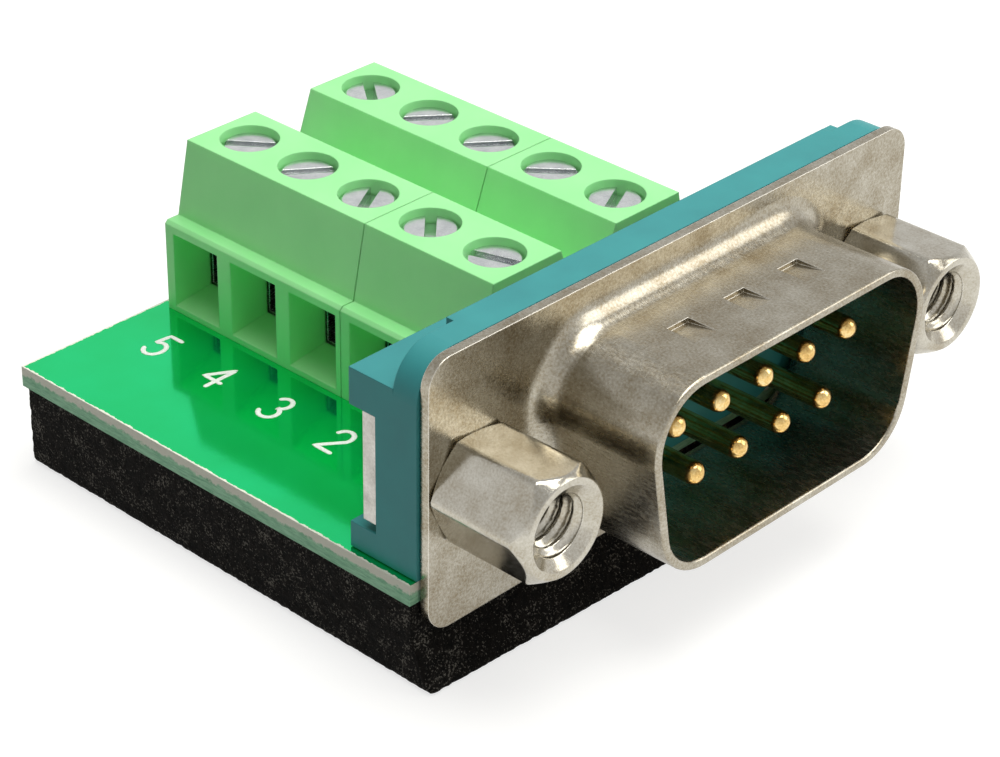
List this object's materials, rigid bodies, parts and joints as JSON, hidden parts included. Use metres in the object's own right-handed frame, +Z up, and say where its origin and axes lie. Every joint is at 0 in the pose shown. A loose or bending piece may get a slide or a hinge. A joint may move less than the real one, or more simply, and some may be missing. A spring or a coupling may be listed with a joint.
{
  "type": "d-sub terminal block adapter",
  "caption": "Small circuit board that joins a male D-shaped plug with jack posts to two rows of screw terminals, on a foam pad.",
  "frame": {"origin": "centre of the bounding box, on the underside of the foam pad", "axes": "+X along the plug's long side, +Y from the plug back to the terminals, +Z up from the foam to the terminal screws; the plug mates towards -Y"},
  "size_m": [0.031, 0.031, 0.0151],
  "materials": {
    "foam": "open cell black foam",
    "board": "green solder mask over glass fibre laminate",
    "nickel": "nickel plated steel",
    "connector_plastic": "moulded teal polyester",
    "gold": "gold plated copper alloy",
    "terminal_plastic": "moulded pale green polyamide",
    "screw_zinc": "zinc plated steel",
    "cage_metal": "nickel plated steel",
    "tinned_metal": "tinned copper alloy"
  },
  "bodies": {
    "adapter": {"foam_pad": "foam", "circuit_board": "board", "dsub_shell": "nickel", "dsub_housing": "connector_plastic", "jack_post_left": "nickel", "jack_post_right": "nickel", "ground_bracket_left": "nickel", "ground_bracket_right": "nickel", "contact_pin_1": "gold", "contact_pin_2": "gold", "contact_pin_3": "gold", "contact_pin_4": "gold", "contact_pin_5": "gold", "contact_pin_6": "gold", "contact_pin_7": "gold", "contact_pin_8": "gold", "contact_pin_9": "gold", "front_terminal_block_left": "terminal_plastic", "front_terminal_block_right": "terminal_plastic", "rear_terminal_block_left": "terminal_plastic", "rear_terminal_block_right": "terminal_plastic", "solder_bar_1": "tinned_metal", "solder_bar_2": "tinned_metal", "solder_bar_3": "tinned_metal", "solder_bar_4": "tinned_metal", "solder_bar_5": "tinned_metal", "solder_bar_6": "tinned_metal", "solder_bar_7": "tinned_metal", "solder_bar_8": "tinned_metal", "solder_bar_9": "tinned_metal", "solder_bar_10": "tinned_metal"},
    "screw_1": {"terminal_screw_1": "screw_zinc"},
    "cage_1": {"clamp_cage_1": "cage_metal"},
    "screw_2": {"terminal_screw_2": "screw_zinc"},
    "cage_2": {"clamp_cage_2": "cage_metal"},
    "screw_3": {"terminal_screw_3": "screw_zinc"},
    "cage_3": {"clamp_cage_3": "cage_metal"},
    "screw_4": {"terminal_screw_4": "screw_zinc"},
    "cage_4": {"clamp_cage_4": "cage_metal"},
    "screw_5": {"terminal_screw_5": "screw_zinc"},
    "cage_5": {"clamp_cage_5": "cage_metal"},
    "screw_6": {"terminal_screw_6": "screw_zinc"},
    "cage_6": {"clamp_cage_6": "cage_metal"},
    "screw_7": {"terminal_screw_7": "screw_zinc"},
    "cage_7": {"clamp_cage_7": "cage_metal"},
    "screw_8": {"terminal_screw_8": "screw_zinc"},
    "cage_8": {"clamp_cage_8": "cage_metal"},
    "screw_9": {"terminal_screw_9": "screw_zinc"},
    "cage_9": {"clamp_cage_9": "cage_metal"},
    "screw_10": {"terminal_screw_10": "screw_zinc"},
    "cage_10": {"clamp_cage_10": "cage_metal"}
  },
  "joints": [
    {"name": "screw_turn_1", "type": "hinge", "parent": "adapter", "child": "screw_1", "pos_m": [-0.00381, -0.00219, 0.011], "axis": [0, 0, 1], "range_deg": [-1440, 0]},
    {"name": "cage_lift_1", "type": "slide", "parent": "adapter", "child": "cage_1", "axis": [0, 0, 1], "range_m": [0, 0.0016]},
    {"name": "screw_turn_2", "type": "hinge", "parent": "adapter", "child": "screw_2", "pos_m": [-0.00381, 0.00161, 0.011], "axis": [0, 0, 1], "range_deg": [-1440, 0]},
    {"name": "cage_lift_2", "type": "slide", "parent": "adapter", "child": "cage_2", "axis": [0, 0, 1], "range_m": [0, 0.0016]},
    {"name": "screw_turn_3", "type": "hinge", "parent": "adapter", "child": "screw_3", "pos_m": [-0.00381, 0.00543, 0.011], "axis": [0, 0, 1], "range_deg": [-1440, 0]},
    {"name": "cage_lift_3", "type": "slide", "parent": "adapter", "child": "cage_3", "axis": [0, 0, 1], "range_m": [0, 0.0016]},
    {"name": "screw_turn_4", "type": "hinge", "parent": "adapter", "child": "screw_4", "pos_m": [-0.00381, 0.00924, 0.011], "axis": [0, 0, 1], "range_deg": [-1440, 0]},
    {"name": "cage_lift_4", "type": "slide", "parent": "adapter", "child": "cage_4", "axis": [0, 0, 1], "range_m": [0, 0.0016]},
    {"name": "screw_turn_5", "type": "hinge", "parent": "adapter", "child": "screw_5", "pos_m": [-0.00381, 0.01304, 0.011], "axis": [0, 0, 1], "range_deg": [-1440, 0]},
    {"name": "cage_lift_5", "type": "slide", "parent": "adapter", "child": "cage_5", "axis": [0, 0, 1], "range_m": [0, 0.0016]},
    {"name": "screw_turn_6", "type": "hinge", "parent": "adapter", "child": "screw_6", "pos_m": [0.00381, -0.00219, 0.011], "axis": [0, 0, 1], "range_deg": [-1440, 0]},
    {"name": "cage_lift_6", "type": "slide", "parent": "adapter", "child": "cage_6", "axis": [0, 0, 1], "range_m": [0, 0.0016]},
    {"name": "screw_turn_7", "type": "hinge", "parent": "adapter", "child": "screw_7", "pos_m": [0.00381, 0.00161, 0.011], "axis": [0, 0, 1], "range_deg": [-1440, 0]},
    {"name": "cage_lift_7", "type": "slide", "parent": "adapter", "child": "cage_7", "axis": [0, 0, 1], "range_m": [0, 0.0016]},
    {"name": "screw_turn_8", "type": "hinge", "parent": "adapter", "child": "screw_8", "pos_m": [0.00381, 0.00543, 0.011], "axis": [0, 0, 1], "range_deg": [-1440, 0]},
    {"name": "cage_lift_8", "type": "slide", "parent": "adapter", "child": "cage_8", "axis": [0, 0, 1], "range_m": [0, 0.0016]},
    {"name": "screw_turn_9", "type": "hinge", "parent": "adapter", "child": "screw_9", "pos_m": [0.00381, 0.00924, 0.011], "axis": [0, 0, 1], "range_deg": [-1440, 0]},
    {"name": "cage_lift_9", "type": "slide", "parent": "adapter", "child": "cage_9", "axis": [0, 0, 1], "range_m": [0, 0.0016]},
    {"name": "screw_turn_10", "type": "hinge", "parent": "adapter", "child": "screw_10", "pos_m": [0.00381, 0.01304, 0.011], "axis": [0, 0, 1], "range_deg": [-1440, 0]},
    {"name": "cage_lift_10", "type": "slide", "parent": "adapter", "child": "cage_10", "axis": [0, 0, 1], "range_m": [0, 0.0016]}
  ],
  "couplings": [
    {"joint": "screw_turn_1", "follows": "cage_lift_1", "rad_per_m": -15708},
    {"joint": "screw_turn_2", "follows": "cage_lift_2", "rad_per_m": -15708},
    {"joint": "screw_turn_3", "follows": "cage_lift_3", "rad_per_m": -15708},
    {"joint": "screw_turn_4", "follows": "cage_lift_4", "rad_per_m": -15708},
    {"joint": "screw_turn_5", "follows": "cage_lift_5", "rad_per_m": -15708},
    {"joint": "screw_turn_6", "follows": "cage_lift_6", "rad_per_m": -15708},
    {"joint": "screw_turn_7", "follows": "cage_lift_7", "rad_per_m": -15708},
    {"joint": "screw_turn_8", "follows": "cage_lift_8", "rad_per_m": -15708},
    {"joint": "screw_turn_9", "follows": "cage_lift_9", "rad_per_m": -15708},
    {"joint": "screw_turn_10", "follows": "cage_lift_10", "rad_per_m": -15708}
  ]
}
